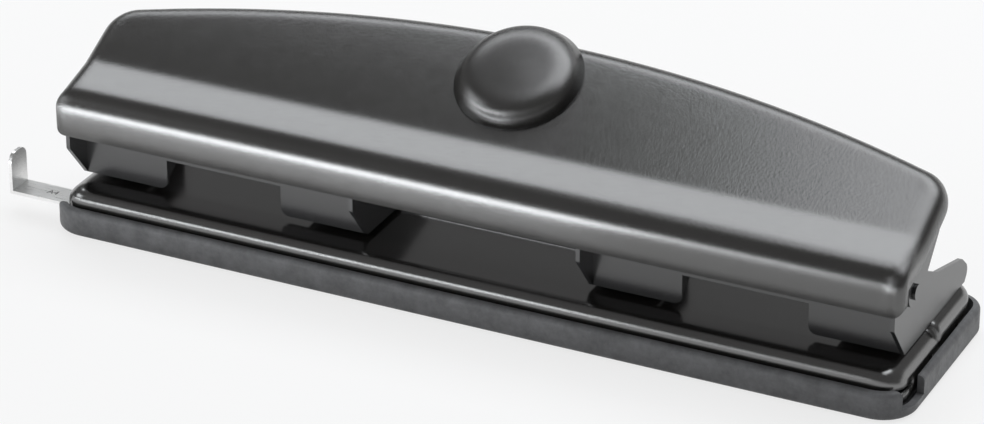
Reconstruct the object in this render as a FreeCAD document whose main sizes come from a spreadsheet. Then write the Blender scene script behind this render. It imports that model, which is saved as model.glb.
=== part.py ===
import FreeCAD, Part
import math
import os
import Sketcher

# Four-hole paper punch with a paper guide and a hinged chip tray.
# Frame: +X along the punch to the right, +Y to the back, +Z up. The origin is at
# the middle of the tray's underside, where the punch stands. Millimetres.

SIZES = {
    # chip tray, moulded
    "tray_depth": 65.0,
    "tray_corner": 10.4,
    "tray_rear_corner": 8.4,
    "tray_height": 8.3,
    "tray_wall": 2.0,
    "tray_floor": 1.5,
    "tray_rim_round": 1.5,
    "tray_foot_round": 1.4,
    "tray_gap": 0.9,
    "base_end_margin": 2.55,
    "tray_seat_gap": 0.3,
    # base plate, pressed from sheet
    "base_sheet": 1.2,
    "table_height": 12.9,
    "front_roll": 3.0,
    "end_roll": 6.5,
    "plateau_round": 4.0,
    "stop_edge_round": 0.8,
    # paper slot and hole pattern
    "slot_height": 1.4,
    "hole_pitch": 80.0,
    "paper_margin": 12.0,
    "pin_setback": 21.3,
    "pin_diameter": 5.5,
    "pin_clearance": 0.06,
    "pin_length": 20.2,
    "pin_retract": 0.4,
    "head_diameter": 7.0,
    "head_height": 1.3,
    "head_chamfer": 0.4,
    "pin_hollow": 1.1,
    "washer_diameter": 8.0,
    "washer_thickness": 0.6,
    # return springs
    "spring_diameter": 8.0,
    "spring_wire": 0.7,
    "spring_turns": 3.5,
    "spring_end_gap": 0.1,
    # punch frames, pressed from sheet
    "frame_sheet": 1.2,
    "cheek_offset": 6.0,
    "web_lead": 8.0,
    "web_width": 27.6,
    "web_corner": 2.5,
    "web_height": 16.4,
    "window_height": 10.6,
    "guide_height": 9.1,
    "bridge_depth": 9.5,
    "leg_setback": 2.2,
    "foot_depth": 11.0,
    "leg_width": 18.5,
    "nose_gap": 0.8,
    "nose_kink": 11.2,
    "nose_rise": 1.8,
    "hub_radius": 6.0,
    "hub_front": 4.8,
    "hub_back": 3.6,
    "hub_round": 3.0,
    "neck_reach": 9.6,
    "neck_rise": 1.2,
    "saddle_reach": 22.2,
    "saddle_rise": 5.5,
    "cheek_tail": 48.3,
    "tail_height": 8.5,
    "tail_step": 3.4,
    "tail_slant": 6.0,
    "tail_round": 3.0,
    "frame_corner": 1.5,
    # handle hinge and lever
    "lever_arm": 7.9,
    "swing": 40.0,
    "nose_radius": 1.2,
    "press_gap": 0.03,
    "rail_sheet": 1.2,
    "rail_flange": 9.0,
    "rail_end_gap": 0.1,
    "lever_sheet": 1.2,
    "lever_gap": 0.35,
    "ear_gap": 0.5,
    "ear_radius": 4.2,
    "ear_front_round": 3.8,
    "ear_heel_round": 3.4,
    "lever_depth": 11.0,
    "lever_setback": 1.2,
    "ear_heel": 9.0,
    # handle shell, pressed from sheet
    "handle_sheet": 1.0,
    "handle_reach": 11.4,
    "handle_depth": 55.3,
    "rear_bow": 17.8,
    "lip_height": 30.4,
    "lip_corner": 3.5,
    "shelf_depth": 16.3,
    "bend_height": 47.5,
    "shelf_slope": 15.8,
    "top_slope": 26.3,
    "shoulder_round": 6.0,
    "bend_round": 7.0,
    "edge_round": 5.0,
    "front_corner": 2.2,
    "rear_corner": 10.0,
    "flange_depth": 6.0,
    "return_depth": 3.6,
    # palm button
    "button_diameter": 37.0,
    "button_face": 31.0,
    "button_height": 4.8,
    "button_rim": 0.5,
    "button_crown": 0.5,
    "button_round": 4.0,
    "button_setback": 37.6,
    "button_peg": 6.0,
    "nut_diameter": 12.0,
    "nut_thickness": 1.2,
    # rivets
    "rivet_diameter": 3.0,
    "rivet_head": 5.5,
    "rivet_head_height": 1.2,
    "rivet_foot_height": 0.8,
    "pivot_diameter": 3.0,
    "pivot_head": 4.4,
    "pivot_head_height": 0.8,
    "rivet_clearance": 0.05,
    # paper guide
    "ruler_width": 8.2,
    "ruler_sheet": 1.0,
    "ruler_setback": 5.3,
    "ruler_height": 6.1,
    "ruler_reach": 146.6,
    "ruler_length": 150.0,
    "stop_height": 12.5,
    "stop_corner": 3.0,
    "ruler_gap": 0.3,
    "clip_sheet": 0.5,
    "clip_lip": 0.6,
    "clip_length": 10.0,
    "clip_outer": 112.0,
    "clip_inner": 40.0,
    "leaf_sheet": 0.4,
    "leaf_foot": 6.0,
    "leaf_length": 24.0,
    "leaf_rest_start": 12.0,
    "leaf_rest_end": 16.8,
    "notch_floor": 3.0,
    "notch_gap": 1.2,
    # tray hinge tabs
    "tab_height": 6.5,
    "tab_thickness": 1.0,
    "tab_reach": 1.5,
    "tab_width": 6.0,
    "tab_spacing": 20.0,
    "tab_gap": 0.3,
}

OVERCUT = 1.0

document = FreeCAD.newDocument("hole_punch")
sheet = document.addObject("Spreadsheet::Sheet", "size")
for row, (alias, number) in enumerate(SIZES.items(), start=1):
    sheet.set("A%d" % row, alias)
    sheet.set("B%d" % row, str(number))
    sheet.setAlias("B%d" % row, alias)
document.recompute()


class Size:
    """A size worked out from the sheet: its formula for setExpression, and its value now."""

    def __init__(self, formula, value):
        self.formula = formula
        self.value = value

    def __add__(self, other):
        other = as_size(other)
        return Size("(%s + %s)" % (self.formula, other.formula), self.value + other.value)

    def __sub__(self, other):
        other = as_size(other)
        return Size("(%s - %s)" % (self.formula, other.formula), self.value - other.value)

    def __mul__(self, other):
        other = as_size(other)
        return Size("(%s * %s)" % (self.formula, other.formula), self.value * other.value)

    def __truediv__(self, other):
        other = as_size(other)
        return Size("(%s / %s)" % (self.formula, other.formula), self.value / other.value)

    def __neg__(self):
        return Size("(0 - %s)" % self.formula, -self.value)

    __radd__ = __add__
    __rmul__ = __mul__

    def __rsub__(self, other):
        return as_size(other) - self


def as_size(number):
    return number if isinstance(number, Size) else Size(repr(float(number)), float(number))


def cell(alias):
    return Size("size.%s" % alias, sheet.get(alias))


def sine(angle):
    angle = as_size(angle)
    return Size("sin(%s)" % angle.formula, math.sin(math.radians(angle.value)))


def cosine(angle):
    angle = as_size(angle)
    return Size("cos(%s)" % angle.formula, math.cos(math.radians(angle.value)))


def tangent(angle):
    return sine(angle) / cosine(angle)


# ---------------------------------------------------------------- shared places

frame_outer = cell("hole_pitch") * 1.5 + cell("cheek_offset")
frame_inner = cell("hole_pitch") * 0.5 - cell("cheek_offset")
tray_front = -cell("tray_depth") / 2
base_half_length = frame_outer + cell("base_end_margin")
tray_half_length = base_half_length + cell("tray_gap") + cell("tray_wall")
base_half_depth = cell("tray_depth") / 2 - cell("tray_wall") - cell("tray_gap")
base_corner = cell("tray_corner") - cell("tray_wall") - cell("tray_gap")
skirt_bottom = cell("tray_floor") + cell("tray_seat_gap")
plateau_height = cell("table_height") + cell("slot_height")
pin_row = tray_front + cell("pin_setback")
stop_face = pin_row + cell("paper_margin")
pin_bottom = plateau_height + cell("pin_retract")
pin_top = pin_bottom + cell("pin_length")
pin_places = [cell("hole_pitch") * step for step in (-1.5, -0.5, 0.5, 1.5)]
half_swing = cell("swing") / 2
pivot_row = pin_row - cell("lever_arm") * cosine(half_swing)
nose_height = pin_top + cell("press_gap") + cell("nose_radius")
pivot_height = nose_height - cell("lever_arm") * sine(half_swing)
web_front = pin_row - cell("web_lead")
web_back = web_front + cell("frame_sheet")
guide_bottom = plateau_height + cell("guide_height")
guide_top = guide_bottom + cell("frame_sheet")
handle_front = pivot_row - cell("handle_reach")
handle_half = frame_outer + cell("ear_gap") + cell("lever_sheet") + cell("handle_sheet")
bend_row = handle_front + cell("shelf_depth")
cheek_nose = handle_front + cell("handle_sheet") + cell("nose_gap")
cheek_tail = pivot_row + cell("cheek_tail")
slide_bore = cell("pin_diameter") + cell("pin_clearance") * 2
rivet_bore = cell("rivet_diameter") + cell("rivet_clearance") * 2
pivot_bore = cell("pivot_diameter") + cell("rivet_clearance") * 2


# ---------------------------------------------------------------- drawing helpers

def new_body(label):
    body = document.addObject("PartDesign::Body", label + "_body")
    body.Label = label
    return body


def new_sketch(body, name, plane, offset):
    """An empty sketch on one of the body's own planes, moved along +X, +Y or +Z by offset."""
    sketch = body.newObject("Sketcher::SketchObject", name + "_sketch")
    origin_plane = [item for item in body.Origin.OriginFeatures if item.Role == plane][0]
    sketch.AttachmentSupport = [(origin_plane, "")]
    sketch.MapMode = "FlatFace"
    along = -as_size(offset) if plane == "XZ_Plane" else as_size(offset)
    sketch.setExpression("AttachmentOffset.Base.z", along.formula)
    return sketch


def place_point(sketch, element, point, u, v, name):
    """Ties one point of a sketch to its two coordinates."""
    for kind, number in (("DistanceX", as_size(u)), ("DistanceY", as_size(v))):
        index = sketch.addConstraint(
            Sketcher.Constraint(kind, -1, 1, element, point, number.value))
        sketch.renameConstraint(index, name + kind[-1])
        sketch.setExpression("Constraints." + name + kind[-1], number.formula)


def draw_outline(sketch, points):
    """A closed outline of straight lines through the points."""
    count = len(points)
    vectors = [FreeCAD.Vector(as_size(u).value, as_size(v).value, 0) for u, v in points]
    for index in range(count):
        sketch.addGeometry(Part.LineSegment(vectors[index], vectors[(index + 1) % count]), False)
    for index in range(count):
        sketch.addConstraint(
            Sketcher.Constraint("Coincident", index, 2, (index + 1) % count, 1))
    for index, (u, v) in enumerate(points):
        place_point(sketch, index, 1, u, v, "corner%d" % index)


def draw_circle(sketch, u, v, diameter):
    centre = FreeCAD.Vector(as_size(u).value, as_size(v).value, 0)
    diameter = as_size(diameter)
    element = sketch.addGeometry(
        Part.Circle(centre, FreeCAD.Vector(0, 0, 1), diameter.value / 2), False)
    place_point(sketch, element, 3, u, v, "centre%d" % element)
    index = sketch.addConstraint(Sketcher.Constraint("Diameter", element, diameter.value))
    sketch.renameConstraint(index, "diameter%d" % element)
    sketch.setExpression("Constraints.diameter%d" % element, diameter.formula)


def extrude(body, name, sketch, plane, length, cut=False):
    """Pads or pockets a sketch towards +X, +Y or +Z."""
    feature = body.newObject("PartDesign::Pocket" if cut else "PartDesign::Pad", name)
    feature.Profile = sketch
    feature.setExpression("Length", as_size(length).formula)
    feature.Reversed = cut != (plane == "XZ_Plane")
    document.recompute()
    return feature


def prism(body, name, plane, start, end, points, cut=False):
    sketch = new_sketch(body, name, plane, start)
    draw_outline(sketch, points)
    return extrude(body, name, sketch, plane, as_size(end) - start, cut)


def block(body, name, low, high, cut=False):
    """A box between its lowest and highest corner."""
    corners = [(low[0], low[1]), (high[0], low[1]), (high[0], high[1]), (low[0], high[1])]
    return prism(body, name, "XY_Plane", low[2], high[2], corners, cut)


def bore(body, name, plane, start, end, centres, diameter):
    """Round holes of one diameter, cut along the plane's normal."""
    sketch = new_sketch(body, name, plane, start)
    for u, v in centres:
        draw_circle(sketch, u, v, diameter)
    return extrude(body, name, sketch, plane, as_size(end) - start, cut=True)


def near(number, size):
    return abs(number - as_size(size).value) < 0.02


def edge_names(shape, test):
    """The names of the edges whose middle point and direction pass the test."""
    names = []
    for index, edge in enumerate(shape.Edges, start=1):
        middle = edge.valueAt((edge.FirstParameter + edge.LastParameter) / 2)
        ends = [vertex.Point for vertex in edge.Vertexes]
        span = (ends[-1] - ends[0]) if len(ends) > 1 else FreeCAD.Vector()
        if test(middle, span):
            names.append("Edge%d" % index)
    return names


def fillet(body, name, radius, test):
    base = body.Tip
    names = edge_names(base.Shape, test)
    if not names:
        raise RuntimeError("no edge found for " + name)
    feature = body.newObject("PartDesign::Fillet", name)
    feature.Base = (base, names)
    feature.setExpression("Radius", as_size(radius).formula)
    document.recompute()
    if "Invalid" in feature.State:
        raise RuntimeError("fillet failed: " + name)
    return feature


def along_x(span):
    return abs(span.x) > 0.5 and abs(span.y) < 0.01 and abs(span.z) < 0.01


def along_y(span):
    return abs(span.y) > 0.5 and abs(span.x) < 0.01 and abs(span.z) < 0.01


def along_z(span):
    return abs(span.z) > 0.2 and abs(span.x) < 0.01 and abs(span.y) < 0.01


def boolean(kind, name, base, tool):
    result = document.addObject("Part::" + kind, name)
    result.Base = base
    result.Tool = tool
    document.recompute()
    return result


def group(label, members):
    """Separate solids that share one node."""
    result = document.addObject("Part::Compound", label)
    result.Links = members
    document.recompute()
    return result


def turned(label, profile):
    """A solid turned about Z from its half profile, given as radius and height."""
    body = new_body(label)
    sketch = new_sketch(body, label, "XZ_Plane", 0)
    draw_outline(sketch, profile)
    feature = body.newObject("PartDesign::Revolution", label + "_turn")
    feature.Profile = sketch
    feature.ReferenceAxis = (sketch, ["V_Axis"])
    feature.Angle = 360
    document.recompute()
    return body


def move_to(piece, x, y, z):
    for axis, number in zip("xyz", (x, y, z)):
        piece.setExpression("Placement.Base." + axis, as_size(number).formula)


def mirrored_range(side, inner, outer):
    """The two X limits, lowest first, of a piece between inner and outer on one side."""
    return (inner, outer) if side > 0 else (-as_size(outer), -as_size(inner))


NODES = []


def keep(piece, label):
    piece.Label = label
    NODES.append(piece)
    return piece


# ---------------------------------------------------------------- chip tray

def ruler_rows(gap):
    """The front and back of the strip the ruler runs in."""
    front = tray_front + cell("ruler_setback") - gap
    return front, front + cell("ruler_width") + gap * 2


def tab_rows(gap):
    """The front and back of each hinge tab on the right end wall."""
    middle = stop_face - cell("paper_margin")
    rows = []
    for step in (0.5, 1.5):
        centre = middle + cell("tab_spacing") * step
        rows.append((centre - cell("tab_width") / 2 - gap, centre + cell("tab_width") / 2 + gap))
    return rows


def make_chip_tray():
    body = new_body("chip_tray")
    half_length = tray_half_length
    half_depth = cell("tray_depth") / 2
    wall = cell("tray_wall")
    top = cell("tray_height")
    block(body, "tray_blank", (-half_length, -half_depth, 0), (half_length, half_depth, top))
    block(body, "tray_hollow",
          (wall - half_length, wall - half_depth, cell("tray_floor")),
          (half_length - wall, half_depth - wall, top + OVERCUT), cut=True)
    inner_x = half_length - wall
    corners = (("front", cell("tray_corner"), -1), ("rear", cell("tray_rear_corner"), 1))
    for name, radius, side in corners:
        fillet(body, "tray_%s_hollow" % name, radius - wall,
               lambda middle, span: along_z(span) and near(abs(middle.x), inner_x)
               and middle.y * side > 0)
    for name, radius, side in corners:
        fillet(body, "tray_%s_corners" % name, radius,
               lambda middle, span: along_z(span) and near(abs(middle.x), half_length)
               and middle.y * side > 0)
    for name, radius, height in (("rim", cell("tray_rim_round"), top),
                                 ("foot", cell("tray_foot_round"), 0)):
        fillet(body, "tray_" + name, radius,
               lambda middle, span: along_y(span) and near(abs(middle.x), half_length)
               and near(middle.z, height))
    front, back = ruler_rows(cell("notch_gap"))
    block(body, "ruler_notches", (-half_length - OVERCUT, front, cell("notch_floor")),
          (half_length + OVERCUT, back, top + OVERCUT), cut=True)
    block(body, "finger_notch", (-half_length - OVERCUT, front, cell("notch_floor")),
          (-inner_x, stop_face, top + OVERCUT), cut=True)
    reach = base_half_length + cell("tab_reach") + cell("tab_gap")
    drop = cell("tab_reach") / 2 + cell("tab_gap")
    for index, (front, back) in enumerate(tab_rows(cell("tab_gap"))):
        block(body, "tab_pocket%d" % index, (inner_x - OVERCUT, front, cell("tab_height") - drop),
              (reach, back, cell("tab_height") + drop), cut=True)
    keep(body, "chip_tray")


# ---------------------------------------------------------------- base plate

def base_front(inset):
    """The flat paper table with its rolled edges, drawn inside its outer face by inset."""
    body = new_body("base_front_%s" % ("outer" if as_size(inset).value == 0 else "inner"))
    half_x = base_half_length - inset
    half_y = base_half_depth - inset
    top = cell("table_height") - inset
    foot = skirt_bottom if as_size(inset).value == 0 else skirt_bottom - OVERCUT
    block(body, "table", (-half_x, -half_y, foot), (half_x, stop_face + cell("base_sheet") * 2, top))
    fillet(body, "table_corners", base_corner - inset,
           lambda middle, span: along_z(span) and near(middle.y, -half_y))
    return roll_edges(body, half_x, half_y, top, inset)


def roll_edges(body, half_x, half_y, top, inset):
    """Rolls the table's edges: tightly along the front, growing round its corners to the ends."""
    tight = (cell("front_roll") - inset).value
    wide = (cell("end_roll") - inset).value
    rolled = []
    for index, edge in enumerate(body.Shape.Edges, start=1):
        first = edge.valueAt(edge.FirstParameter)
        last = edge.valueAt(edge.LastParameter)
        if not (near(first.z, top) and near(last.z, top)):
            continue
        if edge.Orientation == "Forward":  # the chain of edges runs against these
            first, last = last, first
        starts_front, ends_front = near(first.y, -half_y), near(last.y, -half_y)
        if (starts_front or ends_front
                or near(first.x, last.x) and near(abs(first.x), half_x)):
            rolled.append((index, tight if starts_front else wide, tight if ends_front else wide))
    roll = document.addObject("Part::Fillet", body.Name + "_roll")
    roll.Base = body
    roll.Edges = rolled
    document.recompute()
    return roll


def base_rear(inset):
    """The raised rear plateau, whose front face is the paper stop."""
    body = new_body("base_rear_%s" % ("outer" if as_size(inset).value == 0 else "inner"))
    half_x = base_half_length - inset
    half_y = base_half_depth - inset
    top = plateau_height - inset
    front = stop_face + inset
    foot = skirt_bottom if as_size(inset).value == 0 else skirt_bottom - OVERCUT
    block(body, "plateau", (-half_x, front, foot), (half_x, half_y, top))
    fillet(body, "plateau_corners", base_corner - inset,
           lambda middle, span: along_z(span) and near(middle.y, half_y))
    fillet(body, "plateau_round", cell("plateau_round") - inset,
           lambda middle, span: along_x(span) and near(middle.y, half_y) and near(middle.z, top))
    if as_size(inset).value == 0:
        fillet(body, "stop_round", cell("stop_edge_round"),
               lambda middle, span: along_x(span) and near(middle.y, front) and near(middle.z, top))
    return body


def leg_range(side, place):
    """The X limits of the leg behind one pin, which reaches in from the cheek beside it."""
    outer_pin = abs(place) > 1
    cheek = frame_outer - cell("frame_sheet") if outer_pin else frame_inner + cell("frame_sheet")
    free = cheek - cell("leg_width") if outer_pin else cheek + cell("leg_width")
    return mirrored_range(side, free, cheek) if outer_pin else mirrored_range(side, cheek, free)


def foot_rivets():
    """The centres of the rivets that hold the frames' feet, as X and Y."""
    row = stop_face + cell("leg_setback") + cell("frame_sheet") + cell("foot_depth") / 2
    places = []
    for side in (-1, 1):
        for place in (0.5, 1.5):
            low, high = leg_range(side, place)
            places.append(((low + high) / 2, row))
    return places


def make_base_plate():
    outer = boolean("Fuse", "base_outside", base_front(0), base_rear(0))
    inner = boolean("Fuse", "base_inside", base_front(cell("base_sheet")),
                    base_rear(cell("base_sheet")))
    pan = boolean("Cut", "base_pan", outer, inner)
    openings = new_body("base_openings")
    sketch = new_sketch(openings, "die_holes", "XY_Plane", skirt_bottom + OVERCUT)
    for place in pin_places:
        draw_circle(sketch, place, pin_row, slide_bore)
    for x, y in foot_rivets():
        draw_circle(sketch, x, y, rivet_bore)
    feature = openings.newObject("PartDesign::Pad", "die_holes")
    feature.Profile = sketch
    feature.setExpression("Length", (plateau_height - skirt_bottom).formula)
    feature.AllowMultiFace = True
    document.recompute()
    front, back = ruler_rows(cell("ruler_gap"))
    slots = document.addObject("Part::Box", "ruler_slots")
    slots.setExpression("Length", (base_half_length * 2 + OVERCUT * 2).formula)
    slots.setExpression("Width", (back - front).formula)
    slots.setExpression("Height", (cell("ruler_sheet") + cell("ruler_gap") * 2).formula)
    move_to(slots, -base_half_length - OVERCUT, front, cell("ruler_height") - cell("ruler_gap"))
    document.recompute()
    bored = boolean("Cut", "base_bored", pan, openings)
    slotted = boolean("Cut", "base_slotted", bored, slots)
    tabs = []
    for index, (front, back) in enumerate(tab_rows(0)):
        tab = document.addObject("Part::Box", "hinge_tab%d" % index)
        tab.setExpression("Length", (cell("tab_reach") + cell("base_sheet") / 2).formula)
        tab.setExpression("Width", (back - front).formula)
        tab.setExpression("Height", cell("tab_thickness").formula)
        move_to(tab, base_half_length - cell("base_sheet") / 2, front,
                cell("tab_height") - cell("tab_thickness") / 2)
        tabs.append(tab)
    plate = document.addObject("Part::MultiFuse", "base_plate")
    plate.Shapes = [slotted] + tabs
    document.recompute()
    keep(plate, "base_plate")


# ---------------------------------------------------------------- punch frames

def cheek_outline():
    """The side of a punch frame: a nose in front, the hub over the pivot and a low tail."""
    bottom = plateau_height
    tail_top = bottom + cell("tail_height")
    hub_top = pivot_height + cell("hub_radius")
    return [
        (cheek_nose, pivot_height + cell("nose_rise")),
        (cheek_nose, bottom + cell("nose_kink")),
        (web_front, bottom),
        (cheek_tail - cell("tail_round"), bottom),
        (cheek_tail, bottom + cell("tail_step")),
        (cheek_tail - cell("tail_slant"), tail_top),
        (pivot_row + cell("saddle_reach"), tail_top + cell("saddle_rise")),
        (pivot_row + cell("neck_reach"), pivot_height + cell("neck_rise")),
        (pivot_row + cell("hub_back"), hub_top),
        (pivot_row - cell("hub_front"), hub_top),
    ]


def web_range(side, outer):
    """The X limits of one of the two webs of a frame."""
    if outer:
        return mirrored_range(side, frame_outer - cell("web_width"), frame_outer)
    return mirrored_range(side, frame_inner, frame_inner + cell("web_width"))


def make_punch_frame(side, label):
    body = new_body(label)
    wall = cell("frame_sheet")
    low, high = mirrored_range(side, frame_inner, frame_outer)
    window_top = plateau_height + cell("window_height")
    block(body, "web_top", (low, web_front, window_top),
          (high, web_back, plateau_height + cell("web_height")))
    for name, inner, outer in (("inner_cheek", frame_inner, frame_inner + wall),
                               ("outer_cheek", frame_outer - wall, frame_outer)):
        start, end = mirrored_range(side, inner, outer)
        prism(body, name, "YZ_Plane", start, end, cheek_outline())
    bridge_back = web_back + cell("bridge_depth")
    block(body, "bridge", (low, web_front, guide_bottom), (high, bridge_back, guide_top))
    leg_front = stop_face + cell("leg_setback")
    leg_back = leg_front + wall
    for name, outer in (("inner", False), ("outer", True)):
        web_low, web_high = web_range(side, outer)
        block(body, name + "_web", (web_low, web_front, plateau_height),
              (web_high, web_back, window_top))
        leg_low, leg_high = leg_range(side, 1.5 if outer else 0.5)
        block(body, name + "_guide", (web_low, web_front, guide_bottom),
              (web_high, bridge_back, guide_top))
        block(body, name + "_guide_back", (leg_low, bridge_back, guide_bottom),
              (leg_high, leg_back, guide_top))
        block(body, name + "_lower_guide", (leg_low, web_front, plateau_height),
              (leg_high, pin_row + cell("pin_diameter"), plateau_height + wall))
        block(body, name + "_leg", (leg_low, leg_front, plateau_height),
              (leg_high, leg_back, guide_top))
        block(body, name + "_foot", (leg_low, leg_front, plateau_height),
              (leg_high, leg_back + cell("foot_depth"), plateau_height + wall))
        free = web_low if (side > 0) == outer else web_high - wall
        prism(body, name + "_gusset", "YZ_Plane", free, free + wall,
              [(web_front, guide_bottom), (web_front, plateau_height + cell("web_corner")),
               (bridge_back, guide_bottom)])
    free_edges = [web_range(side, outer)[0 if (side > 0) == outer else 1]
                  for outer in (False, True)]
    fillet(body, "web_corners", cell("web_corner"),
           lambda middle, span: along_y(span) and near(middle.z, plateau_height)
           and any(near(middle.x, edge) for edge in free_edges))
    fillet(body, "tail_rounds", cell("tail_round"),
           lambda middle, span: along_x(span) and (
               near(middle.y, cheek_tail) or near(middle.y, cheek_tail - cell("tail_slant"))))
    fillet(body, "nose_rounds", cell("frame_corner"),
           lambda middle, span: along_x(span) and near(middle.y, cheek_nose))
    fillet(body, "hub_rounds", cell("hub_round"),
           lambda middle, span: along_x(span)
           and near(middle.z, pivot_height + cell("hub_radius")) and middle.y > pivot_row.value)
    places = [place for place in pin_places if place.value * side > 0]
    bore(body, "pin_bores", "XY_Plane", plateau_height - OVERCUT, guide_top + OVERCUT,
         [(place, pin_row) for place in places], slide_bore)
    bore(body, "foot_bores", "XY_Plane", plateau_height - OVERCUT, plateau_height + wall + OVERCUT,
         [(x, y) for x, y in foot_rivets() if x.value * side > 0], rivet_bore)
    bore(body, "pivot_bores", "YZ_Plane", low - OVERCUT, high + OVERCUT,
         [(pivot_row, pivot_height)], pivot_bore)
    keep(body, label)


# ---------------------------------------------------------------- pins, washers, springs

def make_pins():
    radius = cell("pin_diameter") / 2
    head = cell("head_diameter") / 2
    head_bottom = cell("pin_length") - cell("head_height")
    chamfer = cell("head_chamfer")
    washer_bore = radius + cell("pin_clearance")
    spring_seat = guide_top + cell("spring_end_gap")
    washer_top = pin_top - cell("head_height")
    washer_bottom = washer_top - cell("washer_thickness")
    for number, place in enumerate(pin_places, start=1):
        pin = turned("punch_pin_%d" % number, [
            (0, cell("pin_hollow")), (radius, 0), (radius, head_bottom), (head, head_bottom),
            (head, cell("pin_length") - chamfer), (head - chamfer, cell("pin_length")),
            (0, cell("pin_length"))])
        move_to(pin, place, pin_row, pin_bottom)
        keep(pin, "punch_pin_%d" % number)
        washer = turned("spring_washer_%d" % number, [
            (washer_bore, 0), (cell("washer_diameter") / 2, 0),
            (cell("washer_diameter") / 2, cell("washer_thickness")),
            (washer_bore, cell("washer_thickness"))])
        move_to(washer, place, pin_row, washer_bottom)
        keep(washer, "spring_washer_%d" % number)
        keep(make_spring(number, place, spring_seat, washer_bottom - cell("spring_end_gap")),
             "pin_spring_%d" % number)


def make_spring(number, place, low, high):
    """A coil spring round one pin, between the guide and the washer."""
    body = new_body("pin_spring_%d" % number)
    wire = cell("spring_wire")
    sketch = new_sketch(body, "wire%d" % number, "XZ_Plane", 0)
    draw_circle(sketch, (cell("spring_diameter") - wire) / 2, wire / 2, wire)
    coil = body.newObject("PartDesign::AdditiveHelix", "coil%d" % number)
    coil.Profile = sketch
    coil.ReferenceAxis = (sketch, ["V_Axis"])
    coil.Mode = "height-turns-angle"
    coil.setExpression("Height", (high - low - wire).formula)
    coil.setExpression("Turns", cell("spring_turns").formula)
    document.recompute()
    move_to(body, place, pin_row, low)
    return body


# ---------------------------------------------------------------- handle shell

def slope_line(row, slope, depth):
    """Height at a row of the line that lies depth below the shelf or the top."""
    return cell("bend_height") + (row - bend_row) * tangent(slope) - as_size(depth) / cosine(slope)


def bend_point(depth):
    """Where the shelf and the top meet, depth below the surface."""
    mean = (cell("shelf_slope") + cell("top_slope")) / 2
    half = (cell("top_slope") - cell("shelf_slope")) / 2
    depth = as_size(depth)
    return (bend_row + depth * sine(mean) / cosine(half),
            cell("bend_height") - depth * cosine(mean) / cosine(half))


def handle_body(name, inset):
    """The pressed form of the handle, drawn inside its outer face by inset."""
    body = new_body(name)
    outside = as_size(inset).value == 0
    half = handle_half - inset
    front = handle_front + inset
    back = handle_front + cell("handle_depth") + cell("edge_round")
    shelf = cell("shelf_slope")
    slope = cell("top_slope")
    top_line = [
        (back, slope_line(back, slope, inset)),
        bend_point(inset),
        (front, slope_line(front, shelf, inset)),
    ]
    if outside:
        flange = cell("flange_depth")
        inner_edge = front + cell("return_depth")
        low_line = [
            (front, cell("lip_height")),
            (inner_edge, cell("lip_height")),
            (inner_edge, slope_line(inner_edge, shelf, flange)),
            bend_point(flange),
            (back, slope_line(back, slope, flange)),
        ]
    else:
        low_line = [
            (front, cell("lip_height") - OVERCUT),
            (back, cell("lip_height") - OVERCUT),
        ]
    prism(body, name + "_profile", "YZ_Plane", -half, half, low_line + top_line)
    fillet(body, name + "_shoulder", cell("shoulder_round") - inset,
           lambda middle, span: along_x(span) and near(middle.y, front)
           and near(middle.z, slope_line(front, shelf, inset)))
    bend = bend_point(inset)
    fillet(body, name + "_bend", cell("bend_round") + inset,
           lambda middle, span: along_x(span) and near(middle.y, bend[0])
           and near(middle.z, bend[1]))
    bow = cell("rear_bow")
    plan_radius = (handle_half * handle_half + bow * bow) / (bow * 2)
    sketch = new_sketch(body, name + "_plan", "XY_Plane", 0)
    centre_row = handle_front + cell("handle_depth") - plan_radius
    draw_circle(sketch, 0, centre_row, (plan_radius - inset) * 2)
    limit = plan_radius * 2
    draw_frame(sketch, -limit, centre_row - limit, limit, centre_row + limit)
    extrude(body, name + "_plan", sketch, "XY_Plane", slope_line(back, slope, 0) + OVERCUT,
            cut=True)
    fillet(body, name + "_rear_corners", cell("rear_corner") - inset,
           lambda middle, span: along_z(span) and near(abs(middle.x), half)
           and middle.y > bend_row.value)
    return round_rim(name, body, half, front, inset)


def round_rim(name, body, half, front, inset):
    """Rounds the upper rim: small at the two front corners, growing over the shoulder."""
    small = (cell("front_corner") - inset).value
    large = (cell("edge_round") - inset).value
    shelf = cell("shelf_slope")
    slope = cell("top_slope")
    rounded = []
    for index, edge in enumerate(body.Shape.Edges, start=1):
        first = edge.valueAt(edge.FirstParameter)
        last = edge.valueAt(edge.LastParameter)
        middle = edge.valueAt((edge.FirstParameter + edge.LastParameter) / 2)
        if not (near(abs(first.x), half) and near(first.x, last.x)):
            continue
        row = as_size(middle.y)
        skin = max(slope_line(row, shelf, inset).value, slope_line(row, slope, inset).value)
        if along_z(last - first):
            if near(middle.y, front):
                rounded.append((index, small, small))
        elif middle.z > skin - cell("flange_depth").value / 2:
            growing = edge.Curve.TypeId == "Part::GeomCircle" and near(min(first.y, last.y), front)
            start = small if growing and first.y < last.y else large
            finish = small if growing and first.y > last.y else large
            rounded.append((index, start, finish))
    rim = document.addObject("Part::Fillet", name + "_rim")
    rim.Base = body
    rim.Edges = rounded
    document.recompute()
    return rim


def draw_frame(sketch, low_u, low_v, high_u, high_v):
    """A second closed outline, a rectangle, in a sketch that already holds one circle."""
    points = [(low_u, low_v), (high_u, low_v), (high_u, high_v), (low_u, high_v)]
    first = sketch.GeometryCount
    vectors = [FreeCAD.Vector(as_size(u).value, as_size(v).value, 0) for u, v in points]
    for index in range(4):
        sketch.addGeometry(Part.LineSegment(vectors[index], vectors[(index + 1) % 4]), False)
    for index in range(4):
        sketch.addConstraint(
            Sketcher.Constraint("Coincident", first + index, 2, first + (index + 1) % 4, 1))
    for index, (u, v) in enumerate(points):
        place_point(sketch, first + index, 1, u, v, "frame%d" % index)


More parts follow.
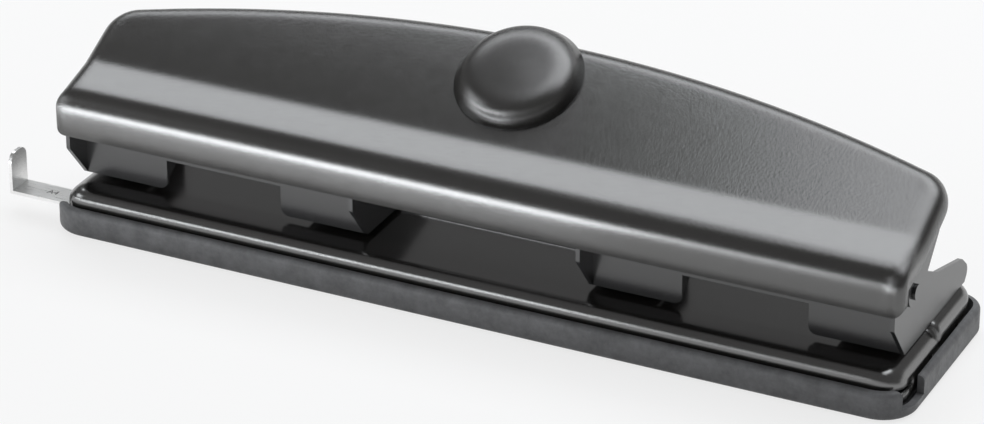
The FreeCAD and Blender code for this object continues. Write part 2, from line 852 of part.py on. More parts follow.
def button_centre():
    row = handle_front + cell("button_setback")
    return row, slope_line(row, cell("top_slope"), 0)


def make_handle_shell():
    skin = boolean("Cut", "handle_skin", handle_body("handle_outside", 0),
                   handle_body("handle_inside", cell("handle_sheet")))
    peg_hole = document.addObject("Part::Cylinder", "peg_hole")
    peg_hole.setExpression("Radius", (cell("button_peg") / 2 + cell("rivet_clearance")).formula)
    peg_hole.setExpression("Height", (cell("handle_sheet") * 4).formula)
    tilt_on_top(peg_hole, -cell("handle_sheet") * 2)
    tools = [peg_hole]
    round_radius = cell("lip_corner")
    for side in (-1, 1):
        corner = document.addObject("Part::Box", "lip_corner_block")
        corner.setExpression("Length", (round_radius + OVERCUT).formula)
        corner.setExpression("Width", (cell("return_depth") + OVERCUT * 2).formula)
        corner.setExpression("Height", (round_radius + OVERCUT).formula)
        low, high = mirrored_range(side, handle_half - round_radius, handle_half + OVERCUT)
        move_to(corner, low, handle_front - OVERCUT, cell("lip_height") - OVERCUT)
        disc = document.addObject("Part::Cylinder", "lip_corner_disc")
        disc.setExpression("Radius", round_radius.formula)
        disc.setExpression("Height", (cell("return_depth") + OVERCUT * 4).formula)
        disc.Placement = FreeCAD.Placement(
            FreeCAD.Vector(), FreeCAD.Rotation(FreeCAD.Vector(1, 0, 0), -90))
        move_to(disc, side * (handle_half - round_radius), handle_front - OVERCUT * 2,
                cell("lip_height") + round_radius)
        tools.append(boolean("Cut", "lip_corner_tool", corner, disc))
    shell = document.addObject("Part::Cut", "handle_shell")
    shell.Base = skin
    shell.Tool = group("handle_cuts", tools)
    document.recompute()
    keep(shell, "handle_shell")


def tilt_on_top(piece, lift):
    """Sets a piece square on the handle's top at the palm button, lifted off it by lift."""
    row, height = button_centre()
    piece.Placement = FreeCAD.Placement(
        FreeCAD.Vector(), FreeCAD.Rotation(FreeCAD.Vector(1, 0, 0), sheet.get("top_slope")))
    piece.setExpression("Placement.Rotation.Angle", cell("top_slope").formula)
    slope = cell("top_slope")
    move_to(piece, 0, row - sine(slope) * lift, height + cosine(slope) * lift)


# ---------------------------------------------------------------- palm button

def make_palm_button():
    radius = cell("button_diameter") / 2
    peg = cell("button_peg") / 2
    depth = cell("handle_sheet") + cell("nut_thickness") * 2
    height = cell("button_height")
    face = cell("button_face") / 2
    button = turned("palm_button", [
        (0, -depth), (peg, -depth), (peg, 0), (radius, 0), (radius, cell("button_rim")),
        (face, height), (0, height + cell("button_crown"))])
    fillet(button, "button_round", cell("button_round"),
           lambda middle, span: near(math.hypot(middle.x, middle.y), face)
           and near(middle.z, height))
    tilt_on_top(button, 0)
    keep(button, "palm_button")
    bore_radius = peg + cell("rivet_clearance")
    nut = turned("button_nut", [
        (bore_radius, 0), (cell("nut_diameter") / 2, 0),
        (cell("nut_diameter") / 2, cell("nut_thickness") / 2),
        (peg + cell("nut_thickness"), cell("nut_thickness")), (bore_radius, cell("nut_thickness"))])
    tilt_on_top(nut, -cell("handle_sheet") - cell("nut_thickness"))
    keep(nut, "button_nut")


# ---------------------------------------------------------------- levers inside the handle

def plate_line(row, depth):
    return slope_line(row, cell("top_slope"), depth)


def make_lever(side, label):
    """The bracket under the shell: a plate with an ear at each end that turns on the pivots."""
    body = new_body(label)
    wall = cell("lever_sheet")
    sheet_depth = cell("handle_sheet")
    outer = handle_half - cell("handle_sheet")
    inner = frame_inner - cell("lever_gap") - wall
    low, high = mirrored_range(side, inner, outer)
    plate_front = bend_row + cell("lever_setback")
    plate_back = plate_front + cell("lever_depth")
    bend = cell("edge_round")
    drop = sheet_depth + bend + cell("lever_gap")
    prism(body, label + "_plate", "YZ_Plane", low, high, [
        (plate_front, plate_line(plate_front, sheet_depth + wall)),
        (plate_back, plate_line(plate_back, sheet_depth + wall)),
        (plate_back, plate_line(plate_back, sheet_depth)),
        (plate_front, plate_line(plate_front, sheet_depth))])
    radius = cell("ear_radius")
    ear_front = pivot_row - radius
    ear = [
        (ear_front, slope_line(ear_front, cell("shelf_slope"), drop)),
        (ear_front, pivot_height - radius),
        (pivot_row + radius, pivot_height - radius),
        (plate_back, plate_line(plate_back, cell("ear_heel"))),
        (plate_back, plate_line(plate_back, sheet_depth)),
        (plate_front, plate_line(plate_front, sheet_depth)),
        (plate_front, plate_line(plate_front, drop)),
    ]
    for name, near_face, far_face in (("inner_ear", inner, inner + wall),
                                      ("outer_ear", outer - wall, outer)):
        start, end = mirrored_range(side, near_face, far_face)
        prism(body, label + name, "YZ_Plane", start, end, ear)
    bottom = (pivot_height - radius).value
    fillet(body, label + "_ear_round", cell("ear_front_round"),
           lambda middle, span: along_x(span) and near(middle.z, bottom)
           and near(middle.y, ear_front))
    fillet(body, label + "_heel_round", cell("ear_heel_round"),
           lambda middle, span: along_x(span) and near(middle.z, bottom)
           and middle.y > pivot_row.value)
    plate_middle = (plate_front + plate_back) / 2
    for name, face, depth, bend_radius in (
            ("inside", outer - wall, sheet_depth + wall, bend - wall),
            ("outside", outer, sheet_depth, bend)):
        height = plate_line(plate_middle, depth)
        fillet(body, "%s_bend_%s" % (label, name), bend_radius,
               lambda middle, span: near(abs(middle.x), face) and near(middle.y, plate_middle)
               and near(middle.z, height))
    bore(body, label + "_bores", "YZ_Plane", low - OVERCUT, high + OVERCUT,
         [(pivot_row, pivot_height)], pivot_bore)
    keep(body, label)


def make_press_rail(side, label):
    """The angle that bears on the pin heads: a flange under the lever and a round-nosed blade."""
    body = new_body(label)
    depth = cell("handle_sheet") + cell("lever_sheet")
    slope = cell("top_slope")
    inner_bend = cell("edge_round") - cell("lever_sheet")
    inset = inner_bend - cell("ear_gap") + cell("rail_end_gap")
    low, high = mirrored_range(side, frame_inner + inset, frame_outer - inset)
    wall = cell("rail_sheet")
    nose = cell("nose_radius")
    reach = (slope_line(pin_row, slope, 0) - nose_height) * cosine(slope) - depth

    def on_blade(across, up):
        """A point across and up the blade, measured from the middle of its nose."""
        return (pin_row + across * cosine(slope) - up * sine(slope),
                nose_height + across * sine(slope) + up * cosine(slope))

    prism(body, label + "_angle", "YZ_Plane", low, high, [
        on_blade(-nose, 0), on_blade(nose, 0), on_blade(nose, reach - wall),
        on_blade(cell("rail_flange"), reach - wall), on_blade(cell("rail_flange"), reach),
        on_blade(-nose, reach)])
    sketch = new_sketch(body, label + "_nose", "YZ_Plane", low)
    draw_circle(sketch, pin_row, nose_height, nose * 2)
    extrude(body, label + "_nose", sketch, "YZ_Plane", high - low)
    keep(body, label)


# ---------------------------------------------------------------- rivets

def make_rivets():
    shank = cell("rivet_diameter") / 2
    head = cell("rivet_head") / 2
    foot = cell("rivet_foot_height")
    grip = cell("base_sheet") + cell("frame_sheet")
    members = []
    for number, (x, y) in enumerate(foot_rivets(), start=1):
        rivet = turned("foot_rivet_%d" % number, [
            (0, -foot), (shank + foot, -foot), (shank + foot, 0), (shank, 0), (shank, grip),
            (head, grip), (head - foot, grip + cell("rivet_head_height")),
            (0, grip + cell("rivet_head_height"))])
        move_to(rivet, x, y, plateau_height - cell("base_sheet"))
        members.append(rivet)
    keep(group("frame_rivets", members), "frame_rivets")

    shank = cell("pivot_diameter") / 2
    head = cell("pivot_head") / 2
    grip = frame_to_ear_grip()
    members = []
    for number, step in enumerate((-1.5, -0.5, 0.5, 1.5), start=1):
        side = 1 if step > 0 else -1
        outward = side if abs(step) > 1 else -side
        cheek = (frame_outer if abs(step) > 1 else frame_inner) * side
        pivot = turned("pivot_rivet_%d" % number, [
            (0, -foot), (shank + foot, -foot), (shank + foot, 0), (shank, 0), (shank, grip),
            (head, grip), (head, grip + cell("pivot_head_height")),
            (0, grip + cell("pivot_head_height"))])
        pivot.Placement = FreeCAD.Placement(
            FreeCAD.Vector(), FreeCAD.Rotation(FreeCAD.Vector(0, 1, 0), 90 * outward))
        move_to(pivot, cheek - outward * cell("frame_sheet"), pivot_row, pivot_height)
        members.append(pivot)
    keep(group("pivot_rivets", members), "pivot_rivets")


def frame_to_ear_grip():
    """From a cheek's inner face to just past the outer face of the ear beside it."""
    layers = cell("frame_sheet") + cell("ear_gap") + cell("lever_sheet")
    return layers + cell("rivet_clearance") * 2


# ---------------------------------------------------------------- paper guide

def make_ruler():
    body = new_body("paper_guide")
    front, back = ruler_rows(0)
    low = cell("ruler_height")
    top = low + cell("ruler_sheet")
    left = -cell("ruler_reach")
    stop_back = left + cell("ruler_sheet")
    block(body, "strip", (left, front, low), (left + cell("ruler_length"), back, top))
    block(body, "end_stop", (left, front, low), (stop_back, back, low + cell("stop_height")))
    stop_top = low + cell("stop_height")
    fillet(body, "stop_corners", cell("stop_corner"),
           lambda middle, span: along_x(span) and near(middle.z, stop_top))
    keep(body, "paper_guide")


def make_guide_clips():
    """Two hooks under the table that the paper guide runs in."""
    wall = cell("clip_sheet")
    front, back = ruler_rows(cell("ruler_gap"))
    floor = cell("table_height") - cell("base_sheet")
    low = cell("ruler_height") - cell("ruler_gap")
    lip = low + cell("clip_lip")
    for name, place in (("outer", cell("clip_outer")), ("inner", cell("clip_inner"))):
        body = new_body("guide_clip_" + name)
        left = -place - cell("clip_length") / 2
        right = left + cell("clip_length")
        prism(body, name + "_hook", "YZ_Plane", left, right, [
            (front - wall, low - wall), (back + wall, low - wall), (back + wall, floor),
            (back, floor), (back, low), (front, low), (front, lip), (front - wall, lip)])
        keep(body, "guide_clip_" + name)


def make_guide_leaf():
    """A bowed leaf spring under the table that holds the paper guide where it is set."""
    body = new_body("guide_leaf")
    back = ruler_rows(-cell("ruler_gap"))[1]
    front = cell("front_roll") - base_half_depth
    ceiling = cell("table_height") - cell("base_sheet")
    wall = cell("leaf_sheet")
    foot = cell("leaf_foot")
    start = -cell("clip_outer") + cell("clip_length") / 2 + cell("leaf_foot") / 2
    rest_start = start + cell("leaf_rest_start")
    rest_end = start + cell("leaf_rest_end")
    length = cell("leaf_length")
    bow = ceiling - cell("ruler_height") - cell("ruler_sheet") - cell("ruler_gap")
    prism(body, "leaf", "XZ_Plane", front, back, [
        (start, ceiling - wall), (start + foot, ceiling - wall),
        (rest_start, ceiling - bow), (rest_end, ceiling - bow),
        (start + length, ceiling - wall * 2), (start + length, ceiling - wall),
        (rest_end, ceiling - bow + wall), (rest_start, ceiling - bow + wall),
        (start + foot, ceiling), (start, ceiling)])
    keep(body, "guide_leaf")


make_chip_tray()
make_base_plate()
make_punch_frame(-1, "punch_frame_left")
make_punch_frame(1, "punch_frame_right")
make_pins()
make_handle_shell()
make_palm_button()
make_lever(-1, "lever_left")
make_lever(1, "lever_right")
make_press_rail(-1, "press_rail_left")
make_press_rail(1, "press_rail_right")
make_rivets()
make_ruler()
make_guide_clips()
make_guide_leaf()

# ---------------------------------------------------------------- check and write

document.recompute()
for item in document.Objects:
    if "Invalid" in item.State or "Error" in item.State:
        raise RuntimeError("%s failed: %s" % (item.Label, item.State))
os.makedirs("parts", exist_ok=True)
for piece in NODES:
    if piece.Shape.isNull() or not piece.Shape.isValid():
        raise RuntimeError("%s has no valid shape" % piece.Label)
for piece in NODES:
    piece.Shape.exportStep("parts/%s.step" % piece.Label)
    box = piece.Shape.BoundBox
    print("%-20s solids %d volume %9.1f  x %7.2f..%7.2f  y %6.2f..%6.2f  z %6.2f..%6.2f" % (
        piece.Label, len(piece.Shape.Solids), piece.Shape.Volume,
        box.XMin, box.XMax, box.YMin, box.YMax, box.ZMin, box.ZMax))
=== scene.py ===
"""Looks for the four-hole paper punch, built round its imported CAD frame.

Metres, in the CAD frame: +X along the punch to the right, +Y to the back, +Z up,
with the chip tray standing on Z = 0.
"""
import math

import bpy
from mathutils import Matrix, Vector


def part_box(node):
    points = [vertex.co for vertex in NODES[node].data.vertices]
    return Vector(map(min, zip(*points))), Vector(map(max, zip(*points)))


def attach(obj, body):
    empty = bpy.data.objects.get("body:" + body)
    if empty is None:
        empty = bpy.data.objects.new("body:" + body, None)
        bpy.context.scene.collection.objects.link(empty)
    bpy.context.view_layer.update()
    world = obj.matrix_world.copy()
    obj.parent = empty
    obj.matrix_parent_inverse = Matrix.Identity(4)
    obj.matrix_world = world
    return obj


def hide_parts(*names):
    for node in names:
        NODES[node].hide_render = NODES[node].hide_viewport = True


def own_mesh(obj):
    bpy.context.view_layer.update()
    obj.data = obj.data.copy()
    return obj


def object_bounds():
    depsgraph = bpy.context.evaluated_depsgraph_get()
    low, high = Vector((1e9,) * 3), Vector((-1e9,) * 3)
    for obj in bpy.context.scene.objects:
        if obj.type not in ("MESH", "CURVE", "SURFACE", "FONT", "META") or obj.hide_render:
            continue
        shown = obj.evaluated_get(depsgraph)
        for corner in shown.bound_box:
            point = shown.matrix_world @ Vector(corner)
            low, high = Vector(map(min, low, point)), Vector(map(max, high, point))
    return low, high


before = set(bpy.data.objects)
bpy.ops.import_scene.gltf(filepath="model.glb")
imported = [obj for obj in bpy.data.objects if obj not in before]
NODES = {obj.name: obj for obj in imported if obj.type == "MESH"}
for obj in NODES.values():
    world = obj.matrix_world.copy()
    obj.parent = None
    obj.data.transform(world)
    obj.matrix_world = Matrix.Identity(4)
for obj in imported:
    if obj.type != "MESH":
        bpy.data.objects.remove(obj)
cad_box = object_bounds()

MM = 0.001
PINS = (1, 2, 3, 4)


# ---------------------------------------------------------------- node helpers

BEVEL_SAMPLES = 8


class Nodes:
    """A material's node tree, with short calls for the nodes that the finishes use."""

    def __init__(self, name):
        self.material = bpy.data.materials.new(name)
        self.material.use_nodes = True
        self.tree = self.material.node_tree
        self.shader = self.tree.nodes["Principled BSDF"]
        self.place = self.add("ShaderNodeTexCoord").outputs["Object"]

    def add(self, kind, **settings):
        node = self.tree.nodes.new(kind)
        for key, value in settings.items():
            setattr(node, key, value)
        return node

    def link(self, source, target):
        self.tree.links.new(source, target)

    def stretch(self, scale):
        """The object's coordinates, scaled."""
        mapping = self.add("ShaderNodeMapping")
        mapping.inputs["Scale"].default_value = scale
        self.link(self.place, mapping.inputs["Vector"])
        return mapping.outputs["Vector"]

    def noise(self, size, detail=2.0, rough=0.5, place=None):
        """Noise whose features are about size metres across."""
        node = self.add("ShaderNodeTexNoise")
        node.inputs["Scale"].default_value = 1 / size
        node.inputs["Detail"].default_value = detail
        node.inputs["Roughness"].default_value = rough
        self.link(place or self.place, node.inputs["Vector"])
        return node.outputs["Fac"]

    def cells(self, size, place=None):
        """Distance to the nearest of cells about size metres apart."""
        node = self.add("ShaderNodeTexVoronoi")
        node.inputs["Scale"].default_value = 1 / size
        self.link(place or self.place, node.inputs["Vector"])
        return node.outputs["Distance"]

    def span(self, value, low, high, start=0.0, finish=1.0):
        """value, as it goes from low to high, taken to start..finish and held beyond."""
        node = self.add("ShaderNodeMapRange")
        for name, number in (("From Min", low), ("From Max", high),
                             ("To Min", start), ("To Max", finish)):
            node.inputs[name].default_value = number
        self.link(value, node.inputs["Value"])
        return node.outputs["Result"]

    def maths(self, operation, first, second):
        """One operation on two values, each a number or a socket."""
        node = self.add("ShaderNodeMath", operation=operation)
        for socket, value in zip(node.inputs, (first, second)):
            if isinstance(value, (int, float)):
                socket.default_value = value
            else:
                self.link(value, socket)
        return node.outputs["Value"]

    def mix(self, share, first, second):
        """A colour between two, each an (r, g, b) or a socket."""
        node = self.add("ShaderNodeMix", data_type="RGBA")
        self.link(share, node.inputs["Factor"])
        for socket, colour in ((node.inputs[6], first), (node.inputs[7], second)):
            if isinstance(colour, tuple):
                socket.default_value = (*colour, 1)
            else:
                self.link(colour, socket)
        return node.outputs[2]

    def bump(self, height, depth, below=None):
        """The normal over a relief depth metres high, laid on top of the normal below."""
        node = self.add("ShaderNodeBump")
        node.inputs["Distance"].default_value = depth
        node.inputs["Strength"].default_value = 1.0
        self.link(height, node.inputs["Height"])
        if below is not None:
            self.link(below, node.inputs["Normal"])
        return node.outputs["Normal"]

    def rounded(self, radius):
        """The surface's normal, with the edges within radius rounded off."""
        bevel = self.add("ShaderNodeBevel", samples=BEVEL_SAMPLES)
        bevel.inputs["Radius"].default_value = radius
        return bevel.outputs["Normal"]

    def bow(self, start, finish):
        """A height that is 1 up to start and then falls with the square of the way along the
        object's Y, to 0 at finish."""
        split = self.add("ShaderNodeSeparateXYZ")
        self.link(self.place, split.inputs["Vector"])
        share = self.span(split.outputs["Y"], start, finish)
        return self.maths("SUBTRACT", 1.0, self.maths("MULTIPLY", share, share))

    def finish(self, colour=None, roughness=None, normal=None, fixed=()):
        """Connects the shader. fixed are socket names and values that are the same all over."""
        for name, socket in (("Base Color", colour), ("Roughness", roughness),
                             ("Normal", normal)):
            if socket is not None:
                self.link(socket, self.shader.inputs[name])
        for name, value in fixed:
            self.shader.inputs[name].default_value = value
        return self.material


# ---------------------------------------------------------------- materials

# How far a finish's roughness wanders to each side of its mean.
PAINT_SHINE_DRIFT = 0.012
PLASTIC_SHINE_DRIFT = 0.06
STEEL_SHINE_BELOW, STEEL_SHINE_ABOVE = 0.06, 0.08
# How wide the faint clouds in a finish's colour are.
PAINT_CLOUD, PLASTIC_CLOUD, STEEL_CLOUD = 18 * MM, 5 * MM, 6 * MM
# Noise keeps near its middle, so one of these parts of its range is spread over the whole.
NARROW, WIDE = (0.35, 0.65), (0.3, 0.7)
PAINT_IOR = 2.0
PLASTIC_IOR = 1.46


def textured_paint(name, dark, light, gloss, grain, depth, ior=PAINT_IOR, soft=0.0, bowed=None):
    """Stove paint with a fine orange-peel grain. soft rounds off the shading within that
    distance of an edge, as a thick coat does. bowed is the start, finish and fall of a
    shallow bow across the object's Y."""
    nodes = Nodes(name)
    grain_noise = nodes.noise(grain, detail=3, rough=0.6)
    cloud = nodes.noise(PAINT_CLOUD, detail=4)
    colour = nodes.mix(nodes.span(cloud, *NARROW), dark, light)
    shine = nodes.span(nodes.noise(grain * 4, detail=4), *WIDE,
                       gloss - PAINT_SHINE_DRIFT, gloss + PAINT_SHINE_DRIFT)
    normal = nodes.rounded(soft) if soft else None
    if bowed:
        start, finish, fall = bowed
        normal = nodes.bump(nodes.bow(start, finish), fall, below=normal)
    normal = nodes.bump(grain_noise, depth, below=normal)
    return nodes.finish(colour, shine, normal, [("IOR", ior)])


def moulded_plastic(name, dark, light, gloss, grain, depth):
    """Moulded plastic with a spark-eroded grain."""
    nodes = Nodes(name)
    grain_noise = nodes.maths("ADD", nodes.noise(grain, detail=3, rough=0.65),
                              nodes.cells(grain * 2))
    cloud = nodes.noise(PLASTIC_CLOUD, detail=6, rough=0.7)
    colour = nodes.mix(nodes.span(cloud, *NARROW), dark, light)
    shine = nodes.span(nodes.noise(3 * MM, detail=3), *WIDE,
                       gloss - PLASTIC_SHINE_DRIFT, gloss + PLASTIC_SHINE_DRIFT)
    normal = nodes.bump(grain_noise, depth)
    return nodes.finish(colour, shine, normal, [("IOR", PLASTIC_IOR)])


def plated_steel(name, dark, light, gloss, brush, scale, depth):
    """Plated or ground steel, brushed along scale's smallest part."""
    nodes = Nodes(name)
    lines = nodes.noise(brush, detail=4, rough=0.6, place=nodes.stretch(scale))
    cloud = nodes.noise(STEEL_CLOUD, detail=4)
    colour = nodes.mix(nodes.span(cloud, *WIDE), dark, light)
    shine = nodes.span(lines, *WIDE, gloss - STEEL_SHINE_BELOW, gloss + STEEL_SHINE_ABOVE)
    normal = nodes.bump(lines, depth)
    return nodes.finish(colour, shine, normal, [("Metallic", 1.0)])


# The handle's top is nearly flat in front and falls away a little towards its back edge.
shell_rows = [corner[1] for corner in NODES["handle_shell"].bound_box]
SHELL_FRONT, SHELL_BACK = min(shell_rows), max(shell_rows)
SHELL_FLAT_SHARE = 0.35
SHELL_BOW_START = SHELL_FRONT + SHELL_FLAT_SHARE * (SHELL_BACK - SHELL_FRONT)
SHELL_BOW_FALL = 1.8 * MM

# How a steel's brush marks are stretched along X, Y and Z.
EVEN = (1, 1, 1)
UPRIGHT = (1, 1, 0.05)
LENGTHWAYS = (0.02, 1, 1)

MATERIALS = {
    "tray_plastic": moulded_plastic(
        "tray_plastic", (0.112, 0.113, 0.116), (0.178, 0.179, 0.184),
        gloss=0.5, grain=0.0005, depth=0.00005),
    "base_paint": textured_paint(
        "base_paint", (0.0158, 0.0150, 0.0136), (0.0198, 0.0190, 0.0175),
        gloss=0.17, grain=0.0006, depth=0.000003, ior=2.4, soft=0.0022),
    "frame_paint": textured_paint(
        "frame_paint", (0.015, 0.015, 0.0155), (0.019, 0.019, 0.0195),
        gloss=0.24, grain=0.0006, depth=0.000005, ior=1.8),
    "handle_paint": textured_paint(
        "handle_paint", (0.0118, 0.0112, 0.0100), (0.0148, 0.0142, 0.0128),
        gloss=0.20, grain=0.0008, depth=0.000030, soft=0.005,
        bowed=(SHELL_BOW_START, SHELL_BACK, SHELL_BOW_FALL)),
    "button_plastic": textured_paint(
        "button_plastic", (0.0100, 0.0095, 0.0085), (0.0130, 0.0124, 0.0112),
        gloss=0.24, grain=0.0004, depth=0.000004, soft=0.009),
    "lever_paint": textured_paint(
        "lever_paint", (0.015, 0.015, 0.0155), (0.019, 0.019, 0.0195),
        gloss=0.24, grain=0.0006, depth=0.000005, ior=1.8),
    "pin_steel": plated_steel(
        "pin_steel", (0.48, 0.48, 0.49), (0.58, 0.58, 0.59),
        gloss=0.22, brush=0.0002, scale=UPRIGHT, depth=0.000004),
    "zinc_steel": plated_steel(
        "zinc_steel", (0.55, 0.56, 0.58), (0.66, 0.67, 0.69),
        gloss=0.28, brush=0.0004, scale=EVEN, depth=0.000005),
    "spring_steel": plated_steel(
        "spring_steel", (0.38, 0.38, 0.39), (0.5, 0.5, 0.51),
        gloss=0.25, brush=0.0003, scale=EVEN, depth=0.000004),
    "rivet_steel": plated_steel(
        "rivet_steel", (0.42, 0.42, 0.42), (0.55, 0.55, 0.55),
        gloss=0.32, brush=0.0003, scale=EVEN, depth=0.000006),
    "stamped_steel": plated_steel(
        "stamped_steel", (0.16, 0.16, 0.155), (0.26, 0.26, 0.25),
        gloss=0.4, brush=0.0002, scale=EVEN, depth=0.000003),
    "guide_nickel": plated_steel(
        "guide_nickel", (0.80, 0.80, 0.79), (0.88, 0.88, 0.87),
        gloss=0.3, brush=0.0002, scale=LENGTHWAYS, depth=0.000003),
}

SLOTS = {
    "tray_plastic": ["chip_tray"],
    "base_paint": ["base_plate"],
    "frame_paint": ["punch_frame_left", "punch_frame_right", "pivot_rivets"],
    "handle_paint": ["handle_shell"],
    "button_plastic": ["palm_button"],
    "lever_paint": ["lever_left", "lever_right", "press_rail_left", "press_rail_right"],
    "pin_steel": ["punch_pin_%d" % index for index in PINS],
    "zinc_steel": ["spring_washer_%d" % index for index in PINS]
    + ["guide_clip_outer", "guide_clip_inner"],
    "spring_steel": ["pin_spring_%d" % index for index in PINS] + ["guide_leaf", "button_nut"],
    "rivet_steel": ["frame_rivets"],
    "guide_nickel": ["paper_guide"],
}
for slot, names in SLOTS.items():
    for name in names:
        NODES[name].data.materials.clear()
        NODES[name].data.materials.append(MATERIALS[slot])


# ---------------------------------------------------------------- springs

SPRING_WIRE = 0.7 * MM
SPRING_TURNS = 3.5
# Each closed end runs for CLOSED_TURNS turns and rises by CLOSED_RISE wire diameters.
CLOSED_TURNS = 0.75
CLOSED_RISE = 0.9
STEPS_PER_TURN = 40
WIRE_SIDES = 12


def coil_mesh(name, low, high, wire, turns):
    """A compression spring with flat closed ends, as a closed tube round a vertical helix."""
    centre = (low + high) / 2
    mean = (high.x - low.x - wire) / 2
    bottom = low.z + wire / 2
    rise = high.z - low.z - wire
    end_share = wire / rise * CLOSED_RISE
    total = turns + CLOSED_TURNS * 2
    steps = int(total * STEPS_PER_TURN)
    path = []
    for step in range(steps + 1):
        turn = total * step / steps
        if turn < CLOSED_TURNS:
            share = turn / CLOSED_TURNS * end_share
        elif turn > total - CLOSED_TURNS:
            share = 1 - (total - turn) / CLOSED_TURNS * end_share
        else:
            share = end_share + (turn - CLOSED_TURNS) / turns * (1 - end_share * 2)
        angle = turn * math.tau
        path.append(Vector((centre.x + mean * math.cos(angle), centre.y + mean * math.sin(angle),
                            bottom + rise * share)))
    points, faces = [], []
    for index, point in enumerate(path):
        before = path[max(index - 1, 0)]
        after = path[min(index + 1, steps)]
        along = (after - before).normalized()
        outward = Vector((point.x - centre.x, point.y - centre.y, 0)).normalized()
        upward = outward.cross(along).normalized()
        for side in range(WIRE_SIDES):
            angle = side / WIRE_SIDES * math.tau
            spoke = outward * math.cos(angle) + upward * math.sin(angle)
            points.append(point + spoke * wire / 2)
    for index in range(steps):
        ring, following = index * WIRE_SIDES, (index + 1) * WIRE_SIDES
        for side in range(WIRE_SIDES):
            other = (side + 1) % WIRE_SIDES
            faces.append((ring + side, following + side, following + other, ring + other))
    faces.append(tuple(range(WIRE_SIDES)))
    faces.append(tuple(reversed(range(steps * WIRE_SIDES, (steps + 1) * WIRE_SIDES))))
    mesh = bpy.data.meshes.new(name)
    mesh.from_pydata(points, [], faces)
    mesh.validate()
    for face in mesh.polygons:
        face.use_smooth = len(face.vertices) == 4
    return mesh


def add_piece(name, mesh, material):
    """A visible piece of the punch that the CAD doesn't have."""
    piece = bpy.data.objects.new(name, mesh)
    bpy.context.scene.collection.objects.link(piece)
    piece.data.materials.append(material)
    return piece


for index in PINS:
    node = "pin_spring_%d" % index
    name = "return_spring_%d" % index
    low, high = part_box(node)
    spring = add_piece(name, coil_mesh(name, low, high, SPRING_WIRE, SPRING_TURNS),
                       MATERIALS["spring_steel"])
    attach(spring, "punch")
    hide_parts(node)
    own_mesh(spring)


# ---------------------------------------------------------------- mark on the paper guide

MARK_HEIGHT = 3.0 * MM
MARK_DEPTH = 0.03 * MM
MARK_FROM_STOP = 12.0 * MM
GUIDE_SHEET = 1.0 * MM


def letters_mesh(name, text, height, depth):
    """Raised letters lying flat, centred on the origin."""
    curve = bpy.data.curves.new(name, "FONT")
    curve.body = text
    curve.size = height
    curve.extrude = depth
    curve.align_x = "CENTER"
    curve.align_y = "CENTER"
    letters = bpy.data.objects.new(name + "_text", curve)
    mesh = bpy.data.meshes.new_from_object(letters)
    bpy.data.objects.remove(letters)
    bpy.data.curves.remove(curve)
    return mesh


guide_low, guide_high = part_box("paper_guide")
mark_mesh = letters_mesh("size_mark", "A4", MARK_HEIGHT, MARK_DEPTH)
mark_place = Vector((guide_low.x + MARK_FROM_STOP, (guide_low.y + guide_high.y) / 2,
                     guide_low.z + GUIDE_SHEET))
mark_mesh.transform(Matrix.Translation(mark_place))
mark = add_piece("size_mark", mark_mesh, MATERIALS["stamped_steel"])
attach(mark, "guide")


# ---------------------------------------------------------------- floor, light and camera

def stage_white(name, glow):
    """A matt pale stage finish that the camera and reflections see as white by glow's share."""
    nodes = Nodes(name)
    nodes.finish(nodes.mix(nodes.noise(0.3, 2), (0.86, 0.86, 0.86), (0.89, 0.89, 0.89)),
                 fixed=[("Roughness", 0.9), ("Specular IOR Level", 0.2)])
    rays = nodes.add("ShaderNodeLightPath")
    seen = nodes.maths("MAXIMUM", rays.outputs["Is Camera Ray"], rays.outputs["Is Glossy Ray"])
    seen = nodes.maths("MAXIMUM", seen, rays.outputs["Is Transmission Ray"])
    white = nodes.add("ShaderNodeEmission")
    white.inputs["Strength"].default_value = 1.0
    blend = nodes.add("ShaderNodeMixShader")
    nodes.link(nodes.maths("MULTIPLY", seen, glow), blend.inputs["Fac"])
    nodes.link(nodes.shader.outputs["BSDF"], blend.inputs[1])
    nodes.link(white.outputs["Emission"], blend.inputs[2])
    nodes.link(blend.outputs["Shader"], nodes.tree.nodes["Material Output"].inputs["Surface"])
    return nodes.material


def stage_plane(name, corners, material):
    """A flat sheet of the stage, which is no part of the punch."""
    mesh = bpy.data.meshes.new(name)
    mesh.from_pydata(corners, [], [(0, 1, 2, 3)])
    plane = bpy.data.objects.new(name, mesh)
    bpy.context.scene.collection.objects.link(plane)
    plane.data.materials.append(material)


FLOOR_REACH = 6.0
WALL_ROW = 2.6
WALL_TOP = 0.7
FLOOR_GAP = 0.2 * MM
FLOOR_LEVEL = cad_box[0].z - FLOOR_GAP
LEFT, RIGHT = -FLOOR_REACH, FLOOR_REACH
stage_plane("floor",
            [(LEFT, -FLOOR_REACH, FLOOR_LEVEL), (RIGHT, -FLOOR_REACH, FLOOR_LEVEL),
             (RIGHT, FLOOR_REACH, FLOOR_LEVEL), (LEFT, FLOOR_REACH, FLOOR_LEVEL)],
            stage_white("floor_white", glow=0.75))
stage_plane("backdrop",
            [(LEFT, WALL_ROW, FLOOR_LEVEL), (RIGHT, WALL_ROW, FLOOR_LEVEL),
             (RIGHT, WALL_ROW, WALL_TOP), (LEFT, WALL_ROW, WALL_TOP)],
            stage_white("backdrop_white", glow=1.0))


LAMP_TINT = (0.95, 0.975, 1.0)


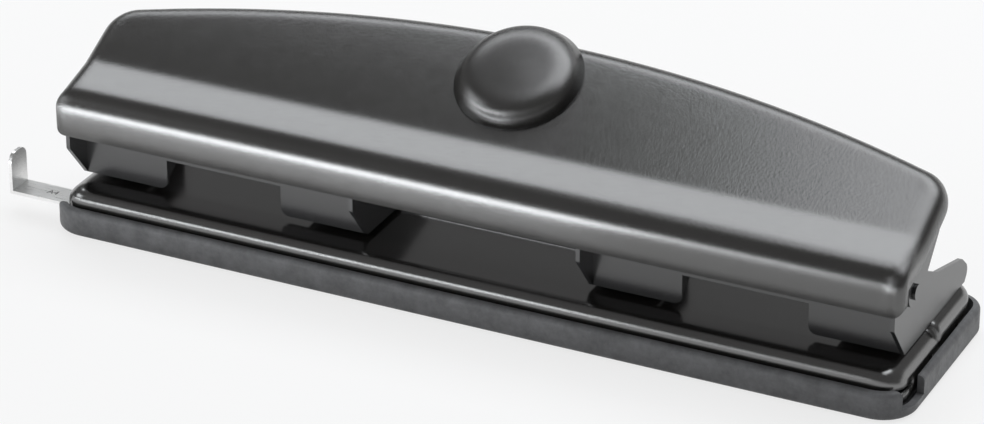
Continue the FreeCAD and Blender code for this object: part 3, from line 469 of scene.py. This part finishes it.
def soft_panel(name, low, high, level, radiance, down=True):
    """A level rectangular lamp between two X, Y corners, lighting downwards or upwards. Its
    face is equally bright whatever its area."""
    width = high[0] - low[0]
    depth = high[1] - low[1]
    light = bpy.data.lights.new(name, "AREA")
    light.shape = "RECTANGLE"
    light.size = width
    light.size_y = depth
    light.energy = radiance * math.pi * width * depth
    light.color = LAMP_TINT
    lamp = bpy.data.objects.new(name, light)
    bpy.context.scene.collection.objects.link(lamp)
    lamp.location = ((low[0] + high[0]) / 2, (low[1] + high[1]) / 2, level)
    lamp.rotation_euler = (0 if down else math.pi, 0, 0)
    lamp.visible_camera = False
    return lamp


CEILING = 1.6
STRIP_LIFT = 0.001
soft_panel("back_panel", (-1.6, 0.62), (1.1, 1.5), CEILING, radiance=3.2)
soft_panel("overhead_panel", (-0.47, -0.1), (1.1, 0.62), CEILING, radiance=2.6)

# Strips on the floor in front, which the handle's front shoulder and the base's rolled edge
# mirror as bright lines.
for name, low, high, radiance in (
        ("far_left", (-0.7, -0.42), (-0.06, -0.2), 11.0),
        ("far_right", (-0.06, -0.42), (0.04, -0.2), 5.0),
        ("near_left", (-0.6, -0.2), (0.0, -0.114), 10.0),
        ("near_right", (0.0, -0.2), (0.09, -0.125), 2.0)):
    soft_panel(name, low, high, FLOOR_LEVEL + STRIP_LIFT, radiance, down=False)

SIDE_PLACE = Vector((-1.5, -0.9, 0.75))
side_light = soft_panel("side_panel", (-0.5, -0.35), (0.5, 0.35), 0.0, radiance=3.0)
side_light.location = SIDE_PLACE
side_light.rotation_euler = (-SIDE_PLACE).to_track_quat("-Z", "Y").to_euler()

# The camera sees the world as white, and everything else sees it at this strength.
WORLD_LIGHT = 0.2
world = bpy.data.worlds.new("studio")
bpy.context.scene.world = world
world.use_nodes = True
tree = world.node_tree
tree.nodes.clear()
rays = tree.nodes.new("ShaderNodeLightPath")
plain = tree.nodes.new("ShaderNodeBackground")
white = tree.nodes.new("ShaderNodeBackground")
plain.inputs["Color"].default_value = (1, 1, 1, 1)
plain.inputs["Strength"].default_value = WORLD_LIGHT
white.inputs["Color"].default_value = (1, 1, 1, 1)
white.inputs["Strength"].default_value = 1.0
choice = tree.nodes.new("ShaderNodeMixShader")
output = tree.nodes.new("ShaderNodeOutputWorld")
tree.links.new(rays.outputs["Is Camera Ray"], choice.inputs["Fac"])
tree.links.new(plain.outputs["Background"], choice.inputs[1])
tree.links.new(white.outputs["Background"], choice.inputs[2])
tree.links.new(choice.outputs["Shader"], output.inputs["Surface"])

# The camera's place, turn and lens were solved from the photograph.
camera_data = bpy.data.cameras.new("camera")
camera_data.sensor_width = 36.0
camera_data.lens = 152.155
camera_data.shift_x = -0.0026423
camera = bpy.data.objects.new("camera", camera_data)
bpy.context.scene.collection.objects.link(camera)
camera.location = (0.44787, -0.93462, 0.54809)
camera.rotation_euler = (math.radians(63.0), 0.0, math.radians(25.8))
bpy.context.scene.camera = camera
bpy.context.scene.view_settings.view_transform = "Standard"
